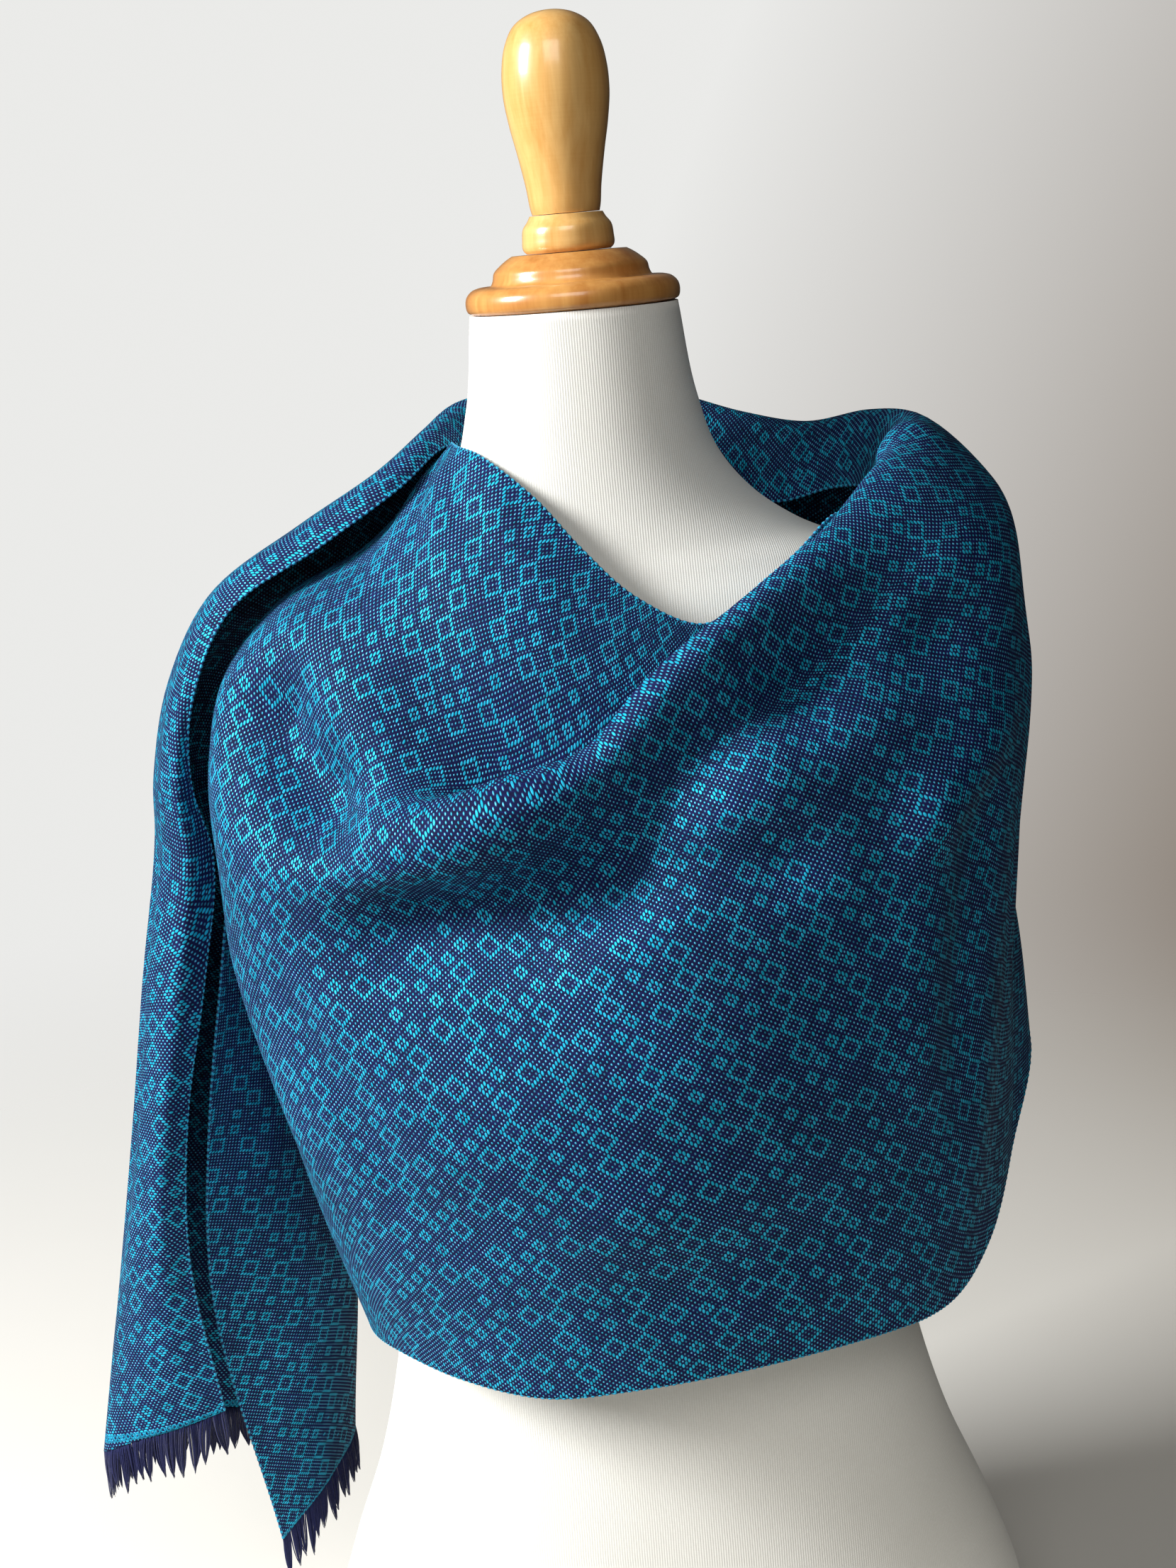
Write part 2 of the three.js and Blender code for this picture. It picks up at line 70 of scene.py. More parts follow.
# ---- The cloth's form: the same sections as the solids, in millimetres ---------------------
# Each row is a compass angle about the form's axis, 0 at the front and 90 at the wearer's left,
# then [distance from the axis, height] of the nine named places from the top edge to the hem:
# over, under, tuck, crest, valley, chest, bulge, waist, hem.
SECTIONS = [
    (-112, (70, 715), (112, 671), (148, 644), (176, 607), (187, 562),
     (186, 495), (179, 425), (168, 350), (150, 268)),
    (-98, (67, 719), (112, 673.2), (156, 649), (185, 615), (197, 572),
     (196, 498), (187, 425), (173, 350), (153, 267)),
    (-84, (64.4, 719), (112, 673.2), (160, 648), (190, 615), (202, 574),
     (200, 500), (190, 425), (175, 350), (154, 268)),
    (-70, (65, 719), (110, 670), (158, 637), (186, 594), (200, 552),
     (200, 490), (191, 425), (177, 350), (157, 273)),
    (-55, (65, 717), (107, 663), (147, 614), (169, 566), (178, 527),
     (186, 480), (187, 425), (175, 350), (160, 280)),
    (-40, (66, 710), (104, 652), (134, 576), (153, 561), (153, 515),
     (167, 470), (176, 425), (168, 350), (155, 276)),
    (-22, (68, 695), (101, 635), (120, 551), (138, 565), (140, 514),
     (154, 468), (168, 425), (162, 350), (151, 273)),
    (-5, (74, 672), (99, 618), (112, 548), (123, 575), (135, 534),
     (151, 480), (164, 428), (160, 350), (149, 278)),
    (12, (84, 648), (99, 608), (109, 566), (118, 607), (136, 570),
     (151, 503), (163, 435), (160, 352), (149, 281)),
    (30, (96, 633), (101, 612), (109, 592), (119, 635), (145, 600),
     (157, 525), (166, 442), (163, 355), (152, 281)),
    (48, (107, 650), (110, 632), (118, 618), (127, 662), (160, 630),
     (171, 545), (175, 450), (170, 358), (158, 276)),
    (57, (114, 660), (118, 648), (125, 642), (134, 677), (169, 646),
     (182, 557), (182, 455), (176, 360), (162, 272)),
    (68, (124, 674), (128, 668), (133, 668), (142, 693), (184, 664),
     (198, 575), (190, 465), (183, 364), (168, 270)),
    (82, (134, 673), (138, 681), (143, 691), (154, 707), (200, 676),
     (210, 600), (201, 500), (190, 380), (182, 282)),
    (95, (139, 680), (143, 689), (148, 700), (157, 714), (200, 683),
     (211, 605), (205, 502), (206, 398), (202, 312)),
    (106, (130, 678), (134, 687), (138, 698), (145, 713), (193, 684),
     (208, 602), (214, 503), (226, 424), (229, 370)),
    (118, (113, 671), (116, 680), (119, 690), (126, 708), (174, 682),
     (197, 602), (206, 512), (215, 444), (218, 392)),
    (132, (101, 673), (102, 684), (104, 697), (110, 715), (152, 686),
     (175, 602), (184, 520), (190, 458), (192, 408)),
    (150, (90, 680), (90, 693), (92, 708), (99, 728), (131, 694),
     (153, 602), (163, 526), (168, 468), (169, 424)),
    (172, (84, 686), (83, 701), (84, 718), (92, 738), (120, 698),
     (141, 605), (150, 530), (154, 478), (155, 438)),
    (194, (80, 696), (78, 709), (79, 722), (87, 738), (119, 700),
     (146, 608), (156, 538), (160, 490), (161, 452)),
]
# The stretch over the right shoulder, then the hanging end: the same nine places in X, Y, Z.
SHOULDER = [
    ((-50, 55, 709), (-51, 55, 717), (-54, 58, 727), (-61, 66, 734), (-85, 94, 704), (-108, 118, 622),
     (-117, 127, 548), (-121, 131, 505), (-122, 132, 466)),
    ((-70, 16, 717), (-71, 19, 722), (-73, 26, 727), (-77, 38, 727), (-98, 74, 702), (-121, 108, 628),
     (-131, 123, 556), (-136, 129, 512), (-138, 131, 473)),
    ((-92, -15, 702), (-93, -11, 708), (-96, -3, 712), (-101, 11, 710), (-118, 51, 693), (-140, 96, 634),
     (-151, 117, 566), (-156, 125, 519), (-158, 128, 481)),
    ((-134, -23, 677), (-136, -19, 683), (-139, -10, 687), (-143, 4, 686), (-153, 42, 677), (-171, 86, 635),
     (-181, 108, 580), (-187, 117, 535), (-190, 121, 494)),
    ((-183, -23, 648), (-185, -19, 653), (-189, -10, 656), (-194, 3, 653), (-202, 36, 646), (-209, 76, 616),
     (-212, 98, 578), (-214, 108, 541), (-213, 112, 506)),
    ((-205, -22, 607), (-208, -21, 611), (-214, -12, 613), (-219, 3, 611), (-226, 32, 606), (-229, 66, 590),
     (-225, 90, 566), (-220, 102, 540), (-213, 106, 512)),
    ((-213, -10, 560), (-219, -15, 562), (-227, -8, 563), (-233, 6, 561), (-240, 36, 558), (-239, 70, 551),
     (-227, 95, 539), (-211, 104, 525), (-202, 92, 510)),
]
TAIL = [
    ((-209, 4, 520), (-220, -6, 522), (-232, 4, 522), (-242, 26, 520), (-247, 60, 517), (-238, 90, 512),
     (-212, 100, 505), (-200, 76, 500), (-205, 28, 500)),
    ((-221, 0, 452), (-234, -6, 453), (-247, 4, 452), (-259, 30, 450), (-258, 68, 448), (-238, 96, 444),
     (-200, 98, 440), (-192, 62, 440), (-215, 12, 444)),
    ((-238, -4, 380), (-250, -9, 379), (-262, 2, 377), (-274, 30, 374), (-268, 74, 371), (-238, 102, 367),
     (-184, 98, 362), (-189, 52, 364), (-229, 8, 372)),
    ((-247, -6, 300), (-262, -9, 297), (-278, 2, 293), (-292, 30, 287), (-282, 76, 282), (-242, 106, 276),
     (-172, 104, 270), (-189, 50, 272), (-239, 6, 286)),
    ((-239, -6, 208), (-264, -6, 200), (-291, 4, 189), (-317, 30, 170), (-301, 74, 162), (-257, 101, 152),
     (-184, 101, 137), (-193, 55, 130), (-218, 8, 119)),
]
PLACES = 9
CENTRE_RIB = 7                # the section at -5 degrees: the pattern is measured out from it
BACK_RIB = 17                 # from here to the shoulder, the pattern turns to run with the hanging end
SHOULDER_RIB = len(SECTIONS) + 1
END_RIB = len(SECTIONS) + len(SHOULDER) + len(TAIL) - 1


def at_angle(degrees, reach, height):
    """The point at a compass angle, at a distance from the form's axis."""
    angle = math.radians(degrees)
    return (reach * math.sin(angle), -reach * math.cos(angle), height)


RIBS = np.array(
    [[at_angle(row[0], *place) for place in row[1:]] for row in SECTIONS] + SHOULDER + TAIL, float) * MM


def smooth_curve(points, places):
    """Points on a smooth curve through points (first axis), at the given places along it."""
    places = np.asarray(places, float)
    count = len(points)
    step = np.diff(points, axis=0)
    chord = np.linalg.norm(step, axis=-1, keepdims=True)
    slope = np.empty_like(points)
    slope[0], slope[-1] = step[0] / chord[0], step[-1] / chord[-1]
    a, b = chord[:-1], chord[1:]
    slope[1:-1] = (step[:-1] * (b / a) + step[1:] * (a / b)) / (a + b)
    i = np.clip(np.floor(places).astype(int), 0, count - 2)
    u = (places - i).reshape((-1,) + (1,) * (points.ndim - 1))
    return (points[i] * (2 * u**3 - 3 * u**2 + 1) + points[i + 1] * (3 * u**2 - 2 * u**3)
            + slope[i] * (u**3 - 2 * u**2 + u) * chord[i] + slope[i + 1] * (u**3 - u**2) * chord[i])


def sheet_points(alongs, acrosses):
    """The cloth's outer face: alongs counts sections, acrosses counts the named places."""
    ribs = smooth_curve(np.swapaxes(RIBS, 0, 1), acrosses)      # across, rib, xyz
    return smooth_curve(np.swapaxes(ribs, 0, 1), alongs)        # along, across, xyz


def unit(v):
    return v / np.maximum(np.linalg.norm(v, axis=-1, keepdims=True), TINY)


def grid_normals(points):
    """Outward directions of a grid of points whose axes run along and across."""
    round_ = np.gradient(points, axis=0)
    down = np.gradient(points, axis=1)
    return unit(np.cross(down, round_))


def graded(lengths, pitch):
    """Places 0 .. n with about one every pitch of length."""
    places = [0.0]
    for i, length in enumerate(lengths):
        n = max(2, round(length / pitch))
        places += [i + (k + 1) / n for k in range(n)]
    return np.array(places)


def smoothstep(low, high, x):
    t = np.clip((x - low) / (high - low), 0, 1)
    return t * t * (3 - 2 * t)


# ---- Cloth coordinates: s runs along the warp, t across it from the hem, both in metres ------
STOLE_WIDTH = 0.48
FULL_WIDTH_TO = 13.0          # the section up to which the front shows the cloth's whole width
HEM_STRAIGHT_TO = SHOULDER_RIB + 2
HOLD = 3.0                    # how firmly those edges are held, against pulls of about 1
CUT_END_HOLD = HOLD / 4
FLATTEN_ROUNDS = 60
SOFTEST, STIFFEST = 0.05, 8.0   # limits on how hard an edge of a thin triangle pulls


def first_coordinates(points, alongs):
    """A rough guess: lengths along each row from the front, and from the cut end behind the shoulder."""
    down = np.linalg.norm(np.diff(points, axis=1), axis=-1)
    t = np.zeros(points.shape[:2])
    t[:, :-1] = np.cumsum(down[:, ::-1], axis=1)[:, ::-1]
    run = np.zeros(points.shape[:2])
    run[1:] = np.cumsum(np.linalg.norm(np.diff(points, axis=0), axis=-1), axis=0)
    wound, hung = run - run[int(np.argmin(abs(alongs - CENTRE_RIB)))], run - run[-1]
    turn = smoothstep(BACK_RIB, SHOULDER_RIB, alongs)[:, None]
    middle = int(np.argmin(abs(alongs - (BACK_RIB + SHOULDER_RIB) / 2)))
    return wound * (1 - turn) + (hung + (wound[middle] - hung[middle]).mean()) * turn, t


def laid_flat(points, s, t, alongs):
    """Lays the cloth out as nearly unstretched as it will go: each triangle turns as a rigid piece and
    the points follow. The hem is held straight as far as the right shoulder, the top edge on the front
    alone, and the cut end square to them."""
    rows, columns = s.shape
    node = np.arange(rows * columns).reshape(rows, columns)
    a, b, c, d = node[:-1, :-1].ravel(), node[:-1, 1:].ravel(), node[1:, :-1].ravel(), node[1:, 1:].ravel()
    corners = np.concatenate([np.stack([a, b, c], 1), np.stack([d, c, b], 1)])
    p = points.reshape(-1, 3)[corners]
    base, slant = p[:, 1] - p[:, 0], p[:, 2] - p[:, 0]
    length = np.linalg.norm(base, axis=1)
    lie = np.zeros((len(corners), 3, 2))
    lie[:, 1, 0] = length
    lie[:, 2, 0] = (base * slant).sum(1) / length
    lie[:, 2, 1] = np.linalg.norm(np.cross(base, slant), axis=1) / length
    edges = []
    for i, j, k in ((0, 1, 2), (1, 2, 0), (2, 0, 1)):
        u, v = lie[:, i] - lie[:, k], lie[:, j] - lie[:, k]
        pull = (u * v).sum(1) / np.maximum(abs(u[:, 0] * v[:, 1] - u[:, 1] * v[:, 0]), TINY)
        pull = np.clip(pull, SOFTEST, STIFFEST) / 2
        edges.append((corners[:, i], corners[:, j], pull, lie[:, i] - lie[:, j]))
    count = rows * columns
    net = np.zeros((count, count))
    for i, j, pull, _ in edges:
        for m, n, sign in ((i, i, 1), (j, j, 1), (i, j, -1), (j, i, -1)):
            np.add.at(net, (m, n), sign * pull)
    hold_s, hold_t = np.zeros(count), np.zeros(count)
    hold_s[node[-1]] = CUT_END_HOLD
    hold_t[node[alongs <= HEM_STRAIGHT_TO, -1]] = HOLD
    goal_t = np.zeros(count)
    full_width = node[alongs <= FULL_WIDTH_TO, 0]
    hold_t[full_width], goal_t[full_width] = HOLD, STOLE_WIDTH
    solve_s, solve_t = np.linalg.inv(net + np.diag(hold_s)), np.linalg.inv(net + np.diag(hold_t))
    flat = np.stack([s.ravel(), t.ravel()], axis=1)
    goal_s = s[-1].mean()
    for _ in range(FLATTEN_ROUNDS):
        m = sum(pull[:, None, None] * (flat[i] - flat[j])[:, :, None] * lay[:, None, :]
                for i, j, pull, lay in edges)
        angle = np.arctan2(m[:, 1, 0] - m[:, 0, 1], m[:, 0, 0] + m[:, 1, 1])
        turn = np.stack([np.cos(angle), -np.sin(angle), np.sin(angle), np.cos(angle)], 1).reshape(-1, 2, 2)
        right = np.zeros((count, 2))
        for i, j, pull, lay in edges:
            push = pull[:, None] * np.einsum("nij,nj->ni", turn, lay)
            np.add.at(right, i, push)
            np.add.at(right, j, -push)
        flat = np.stack([solve_s @ (right[:, 0] + hold_s * goal_s),
                         solve_t @ (right[:, 1] + hold_t * goal_t)], axis=1)
    return flat[:, 0].reshape(rows, columns), flat[:, 1].reshape(rows, columns)


def cloth_coordinates(outer, alongs, acrosses, lengths, widths, pitch):
    """s and t for every point of the fine grid, worked out on a coarser one."""
    few_alongs, few_acrosses = graded(lengths, pitch), graded(widths, pitch)
    i = np.interp(few_alongs, alongs, np.arange(len(alongs)))
    j = np.interp(few_acrosses, acrosses, np.arange(len(acrosses)))
    i, j = np.meshgrid(i, j, indexing="ij")
    points = np.stack([bilinear(outer[..., k], i, j) for k in range(3)], axis=-1)
    s, t = laid_flat(points, *first_coordinates(points, few_alongs), few_alongs)
    i = np.interp(alongs, few_alongs, np.arange(len(few_alongs)))
    j = np.interp(acrosses, few_acrosses, np.arange(len(few_acrosses)))
    i, j = np.meshgrid(i, j, indexing="ij")
    return bilinear(s, i, j) - s[-1].mean(), bilinear(t, i, j)


# Creases, placed one by one. Each is a line of (section, place) points on the cloth, its half width and its
# height in millimetres (below zero for a trough), and the share of its length that fades in and out.
CREASES = [
    # fanned from the gather beside the neck, over the upper front
    ([(0.8, 0.15), (2.4, 0.7), (4.0, 1.5)], 7, 2.2, (0.2, 1.0)),
    ([(1.6, 0.1), (3.4, 0.7), (5.2, 1.5)], 6, -1.8, (0.2, 1.0)),
    ([(2.2, 0.1), (4.0, 0.6), (6.0, 1.4)], 7, 2.0, (0.2, 1.0)),
    ([(3.0, 0.1), (4.8, 0.5), (6.6, 1.0)], 6, -1.6, (0.2, 1.0)),
    ([(4.4, 0.05), (5.6, 0.35), (7.2, 0.8)], 8, 1.6, (0.4, 1.0)),
    # the cowl's rolled crest, the deep valley under it and the branch of that valley
    ([(3.1, 4.1), (4.1, 3.8), (5.0, 3.45), (6.0, 3.3), (7.0, 3.2), (8.0, 3.05), (9.4, 3.0), (11.0, 3.1)],
     22, 17, (0.25, 0.35)),
    ([(3.6, 4.85), (4.4, 4.45), (5.1, 4.15), (6.0, 4.0), (7.0, 3.95), (8.0, 3.8), (9.2, 3.85), (11.0, 3.9),
      (12.6, 4.0)], 24, -17, (0.25, 0.2)),
    ([(6.2, 4.15), (7.2, 4.3), (8.0, 4.55), (9.0, 4.95), (9.6, 5.1)], 18, -8, (0.3, 0.3)),
    # the hollow below the wearer's left shoulder, its lower ridge and the shoulder's peak
    ([(8.6, 3.8), (9.4, 4.1), (10.4, 4.3), (11.3, 4.4), (12.5, 4.35)], 31, -19, (0.3, 0.25)),
    ([(12.7, 5.0), (11.6, 5.1), (10.6, 5.15), (9.7, 5.1)], 18, 8, (0.3, 0.4)),
    ([(12.8, 2.0), (13.0, 2.9), (13.2, 3.6)], 10, 5, (0.3, 0.4)),
    # the hollow of the upper front beside the right arm
    ([(2.5, 2.4), (3.2, 2.75), (3.9, 2.95), (4.8, 2.8)], 25, -24, (0.3, 0.35)),
    # long soft waves down the front, the left arm, the back and the right arm
    ([(9.9, 6.7), (8.8, 7.1), (7.4, 7.35), (6.2, 7.3)], 26, -5, (0.4, 0.4)),
    ([(8.3, 6.4), (7.0, 6.75), (5.9, 6.7)], 24, 3.5, (0.4, 0.5)),
    ([(11.2, 4.7), (10.5, 5.3), (10.2, 6.2), (10.4, 7.0)], 18, 6, (0.3, 0.4)),
    ([(12.2, 4.9), (11.6, 5.6), (11.3, 6.4), (11.6, 7.2)], 17, -5, (0.3, 0.4)),
    ([(13.6, 4.4), (13.2, 5.3), (13.4, 6.3), (13.3, 7.4)], 17, 4, (0.3, 0.4)),
    ([(14.6, 4.4), (14.2, 5.4), (14.3, 6.4), (14.2, 7.5)], 15, -4, (0.3, 0.5)),
    ([(15.3, 4.2), (15.9, 5.2), (16.4, 6.2), (16.4, 7.4)], 17, -6, (0.3, 0.4)),
    ([(16.2, 4.2), (17.0, 5.0), (17.5, 5.9), (17.4, 7.0)], 18, 5, (0.3, 0.4)),
    ([(16.8, 4.1), (18.2, 4.7), (19.8, 5.0), (21.6, 4.9)], 20, -6, (0.3, 0.3)),
    ([(17.6, 5.7), (19.0, 6.0), (20.6, 6.0), (22.2, 5.8)], 19, 4.5, (0.3, 0.4)),
    ([(18.2, 6.8), (19.6, 6.9), (21.2, 6.8), (22.8, 6.6)], 16, -4, (0.3, 0.4)),
    ([(0.2, 4.6), (1.2, 5.2), (1.8, 6.2), (1.7, 7.3)], 17, -4.5, (0.2, 0.4)),
    ([(2.4, 4.4), (2.7, 5.4), (3.3, 6.3), (3.9, 7.4)], 20, 4, (0.3, 0.4)),
    ([(3.4, 4.7), (3.9, 5.5), (4.7, 6.4), (5.5, 7.2)], 18, -4, (0.3, 0.5)),
    # the hanging end
    ([(27.3, 3.3), (28.6, 3.0), (30.0, 2.7), (31.6, 2.9)], 9, -3, (0.3, 0.3)),
    ([(27.4, 5.6), (28.8, 5.4), (30.4, 5.5), (31.8, 5.2)], 12, 3.5, (0.3, 0.3)),
    ([(28.2, 6.6), (29.6, 6.4), (31.0, 6.6)], 10, -3, (0.3, 0.4)),
    ([(22.4, 4.6), (24.0, 4.8), (25.6, 4.9), (27.0, 5.2)], 12, -4, (0.3, 0.4)),
]


CURVE_STEPS = 8               # points on a smooth curve for each stretch between given points


def densely(line):
    """A smooth curve through the given points."""
    return smooth_curve(line, np.linspace(0, len(line) - 1, CURVE_STEPS * (len(line) - 1) + 1))


def crease_heights(s, t, alongs, acrosses):
    """How far each grid point stands out of the plain form, in metres."""
    height = np.zeros(s.shape)
    for line, width, depth, (start, end) in CREASES:
        marks = densely(np.array(line, float))
        i = np.interp(marks[:, 0], alongs, np.arange(len(alongs)))
        j = np.interp(marks[:, 1], acrosses, np.arange(len(acrosses)))
        px, py = bilinear(s, i, j), bilinear(t, i, j)
        nearest = np.full(s.shape, np.inf)
        way = np.zeros(s.shape)
        for k in range(len(px) - 1):
            ax, ay, bx, by = px[k], py[k], px[k + 1] - px[k], py[k + 1] - py[k]
            f = np.clip(((s - ax) * bx + (t - ay) * by) / max(bx * bx + by * by, TINY), 0, 1)
            d = np.hypot(s - ax - f * bx, t - ay - f * by)
            closer = d < nearest
            nearest = np.where(closer, d, nearest)
            way = np.where(closer, (k + f) / (len(px) - 1), way)
        fade = smoothstep(0, 1, np.minimum(1, way / start) * np.minimum(1, (1 - way) / end))
        height += depth * MM * fade * np.exp(-(nearest / (width * MM)) ** 2)
    return height


def bilinear(grid, i, j):
    i0 = np.clip(np.floor(i).astype(int), 0, grid.shape[0] - 2)
    j0 = np.clip(np.floor(j).astype(int), 0, grid.shape[1] - 2)
    u, v = i - i0, j - j0
    return ((grid[i0, j0] * (1 - u) + grid[i0 + 1, j0] * u) * (1 - v)
            + (grid[i0, j0 + 1] * (1 - u) + grid[i0 + 1, j0 + 1] * u) * v)


# ---- Meshes ----------------------------------------------------------------------------------
def new_object(name, points, faces, material, uv=None):
    """A piece riding on the part's one body. uv holds one pair for each point."""
    mesh = bpy.data.meshes.new(name)
    mesh.from_pydata([tuple(p) for p in np.asarray(points, float)], [], faces)
    if uv is not None:
        layer = mesh.uv_layers.new(name="cloth")
        index = np.empty(len(mesh.loops), np.int32)
        mesh.loops.foreach_get("vertex_index", index)
        layer.data.foreach_set("uv", np.asarray(uv, np.float32)[index].ravel())
    mesh.polygons.foreach_set("use_smooth", [True] * len(mesh.polygons))
    mesh.materials.append(material)
    mesh.update()
    piece = bpy.data.objects.new(name, mesh)
    bpy.context.scene.collection.objects.link(piece)
    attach(piece, "root")
    return piece


def grid_faces(rows, columns, first=0, flip=False):
    faces = []
    for i in range(rows - 1):
        for j in range(columns - 1):
            a = first + i * columns + j
            quad = (a, a + 1, a + columns + 1, a + columns)
            faces.append(quad[::-1] if flip else quad)
    return faces


def thin_shell(outer, thickness):
    """Points and faces of a closed thin wall under a grid of outer points."""
    rows, columns = outer.shape[:2]
    inner = outer - grid_normals(outer) * thickness
    count = rows * columns
    points = np.concatenate([outer.reshape(-1, 3), inner.reshape(-1, 3)])
    faces = grid_faces(rows, columns) + grid_faces(rows, columns, count, True)
    rim = ([i * columns for i in range(rows)] + [(rows - 1) * columns + j for j in range(1, columns)]
           + [i * columns + columns - 1 for i in range(rows - 2, -1, -1)] + list(range(columns - 2, 0, -1)))
    for a, b in zip(rim, rim[1:] + rim[:1]):
        faces.append((a, b, b + count, a + count))
    return points, faces


def tube_faces(rings, sides):
    """Faces of a closed tube of rings, with one flat face at each end."""
    faces = []
    for i in range(rings - 1):
        for k in range(sides):
            a, b = i * sides + k, i * sides + (k + 1) % sides
            faces.append((a, b, b + sides, a + sides))
    faces.append(tuple(range(sides))[::-1])
    faces.append(tuple(range((rings - 1) * sides, rings * sides)))
    return faces


def flatten_ends(piece):
    """Shades a tube's two end faces flat."""
    for face in (piece.data.polygons[-1], piece.data.polygons[-2]):
        face.use_smooth = False


def tube(path, radii, sides, up=(0.0, 0.0, 1.0)):
    """Points and faces of a closed tube along a path."""
    path = np.asarray(path, float)
    along = unit(np.gradient(path, axis=0))
    side = unit(np.cross(along, np.asarray(up, float)) + 1e-9)
    other = np.cross(along, side)
    angle = 2 * np.pi * np.arange(sides) / sides
    ring = (np.cos(angle)[None, :, None] * side[:, None] + np.sin(angle)[None, :, None] * other[:, None])
    points = (path[:, None] + ring * np.asarray(radii, float).reshape(-1, 1, 1)).reshape(-1, 3)
    return points, tube_faces(len(path), sides)


def gathered(parts):
    """Several (points, faces) as one."""
    points, faces, first = [], [], 0
    for some, quads in parts:
        points.append(some)
        faces += [tuple(first + i for i in quad) for quad in quads]
        first += len(some)
    return np.concatenate(points), faces


# ---- Node helpers ----------------------------------------------------------------------------
class Wire:
    """A value in a material's node tree, with arithmetic that adds Math nodes."""

    def __init__(self, tree, socket):
        self.tree, self.socket = tree, socket

    def math(self, operation, *others, clamp=False):
        node = self.tree.nodes.new("ShaderNodeMath")
        node.operation, node.use_clamp = operation, clamp
        for k, value in enumerate((self,) + others):
            if isinstance(value, Wire):
                self.tree.links.new(value.socket, node.inputs[k])
            else:
                node.inputs[k].default_value = value
        return Wire(self.tree, node.outputs[0])

    def __add__(self, other):
        return self.math("ADD", other)

    def __sub__(self, other):
        return self.math("SUBTRACT", other)

    def __mul__(self, other):
        return self.math("MULTIPLY", other)

    def __truediv__(self, other):
        return self.math("DIVIDE", other)

    def __neg__(self):
        return self.math("MULTIPLY", -1.0)

    def floor(self):
        return self.math("FLOOR")

    def round(self):
        return self.math("ROUND")

    def fract(self):
        return self.math("FRACT")

    def abs(self):
        return self.math("ABSOLUTE")

    def max(self, other):
        return self.math("MAXIMUM", other)

    def above(self, other):
        return self.math("GREATER_THAN", other)

    def clamp(self):
        return self.math("ADD", 0.0, clamp=True)


class Look:
    """A procedural material with one Principled shader."""

    def __init__(self, name):
        self.material = bpy.data.materials.new(name)
        self.material.use_nodes = True
        self.tree = self.material.node_tree
        self.shader = next(n for n in self.tree.nodes if n.type == "BSDF_PRINCIPLED")

    def node(self, kind, inputs=None, **settings):
        node = self.tree.nodes.new("ShaderNode" + kind)
        for key, value in settings.items():
            setattr(node, key, value)
        for key, value in (inputs or {}).items():
            if isinstance(value, Wire):
                self.tree.links.new(value.socket, node.inputs[key])
            else:
                node.inputs[key].default_value = value
        return node

    def wire(self, node, output=0):
        return Wire(self.tree, node.outputs[output])

    def coordinate(self, output):
        return self.wire(self.node("TexCoord"), output)

    def split(self, vector):
        node = self.node("SeparateXYZ", {0: vector})
        return [self.wire(node, k) for k in range(3)]

    def join(self, x=0.0, y=0.0, z=0.0):
        return self.wire(self.node("CombineXYZ", {0: x, 1: y, 2: z}))

    def noise(self, vector, scale, detail=3.0, roughness=0.55):
        settings = {"Vector": vector, "Scale": scale, "Detail": detail, "Roughness": roughness}
        return self.wire(self.node("TexNoise", settings))

    def random(self, vector):
        return self.wire(self.node("TexWhiteNoise", {"Vector": vector}, noise_dimensions="3D"), 0)

    def mix(self, amount, a, b):
        node = self.node("Mix", data_type="RGBA")
        for key, value in ((0, amount), (6, a), (7, b)):     # the sockets of a Mix node set to colours
            if isinstance(value, Wire):
                self.tree.links.new(value.socket, node.inputs[key])
            else:
                node.inputs[key].default_value = value if key == 0 else (*value, 1)
        return self.wire(node, 2)

    def bump(self, height, distance, strength):
        return self.wire(self.node("Bump", {"Height": height, "Distance": distance, "Strength": strength}))

    def set(self, **values):
        for key, value in values.items():
            socket = self.shader.inputs[key.replace("_", " ")]
            if isinstance(value, Wire):
                self.tree.links.new(value.socket, socket)
            else:
                socket.default_value = value


def shade(red, green, blue):
    """A screen colour, 0 to 255, as the linear colour that a shader takes."""
    return tuple(((c / 255 + 0.055) / 1.055) ** 2.4 if c > 10 else c / 255 / 12.92
                 for c in (red, green, blue))


# ---- Weave: a common shadow weave, worked out from cloth coordinates -------------------------
DOT_PITCH = 1.95 * MM         # from one weft dot to the next, along a diagonal of the cloth
CELL_DOTS = 5.0               # dots along the side of a diamond
REPEAT_DOTS = 43.0            # dots in one repeat of growing and shrinking diamonds
NAVY, NAVY_LIGHT = shade(6, 10, 50), shade(24, 32, 106)
TURQUOISE, PALE = shade(0, 186, 222), shade(104, 202, 240)
LARGEST_RING, SHRINKING = 2.75, 8.0     # a diamond's half side in dots, and how it shrinks along the repeat
CROSS_RATE = 0.22             # the repeat also runs along the other diagonal, this much as fast
STITCH = shade(14, 150, 188)
LOOP_PITCH = 3.6 * MM         # one loop of the hemstitching
STITCH_DEPTH = 4.6 * MM
PICOT_BEAT = 3.6 * MM         # one bead of the selvedge


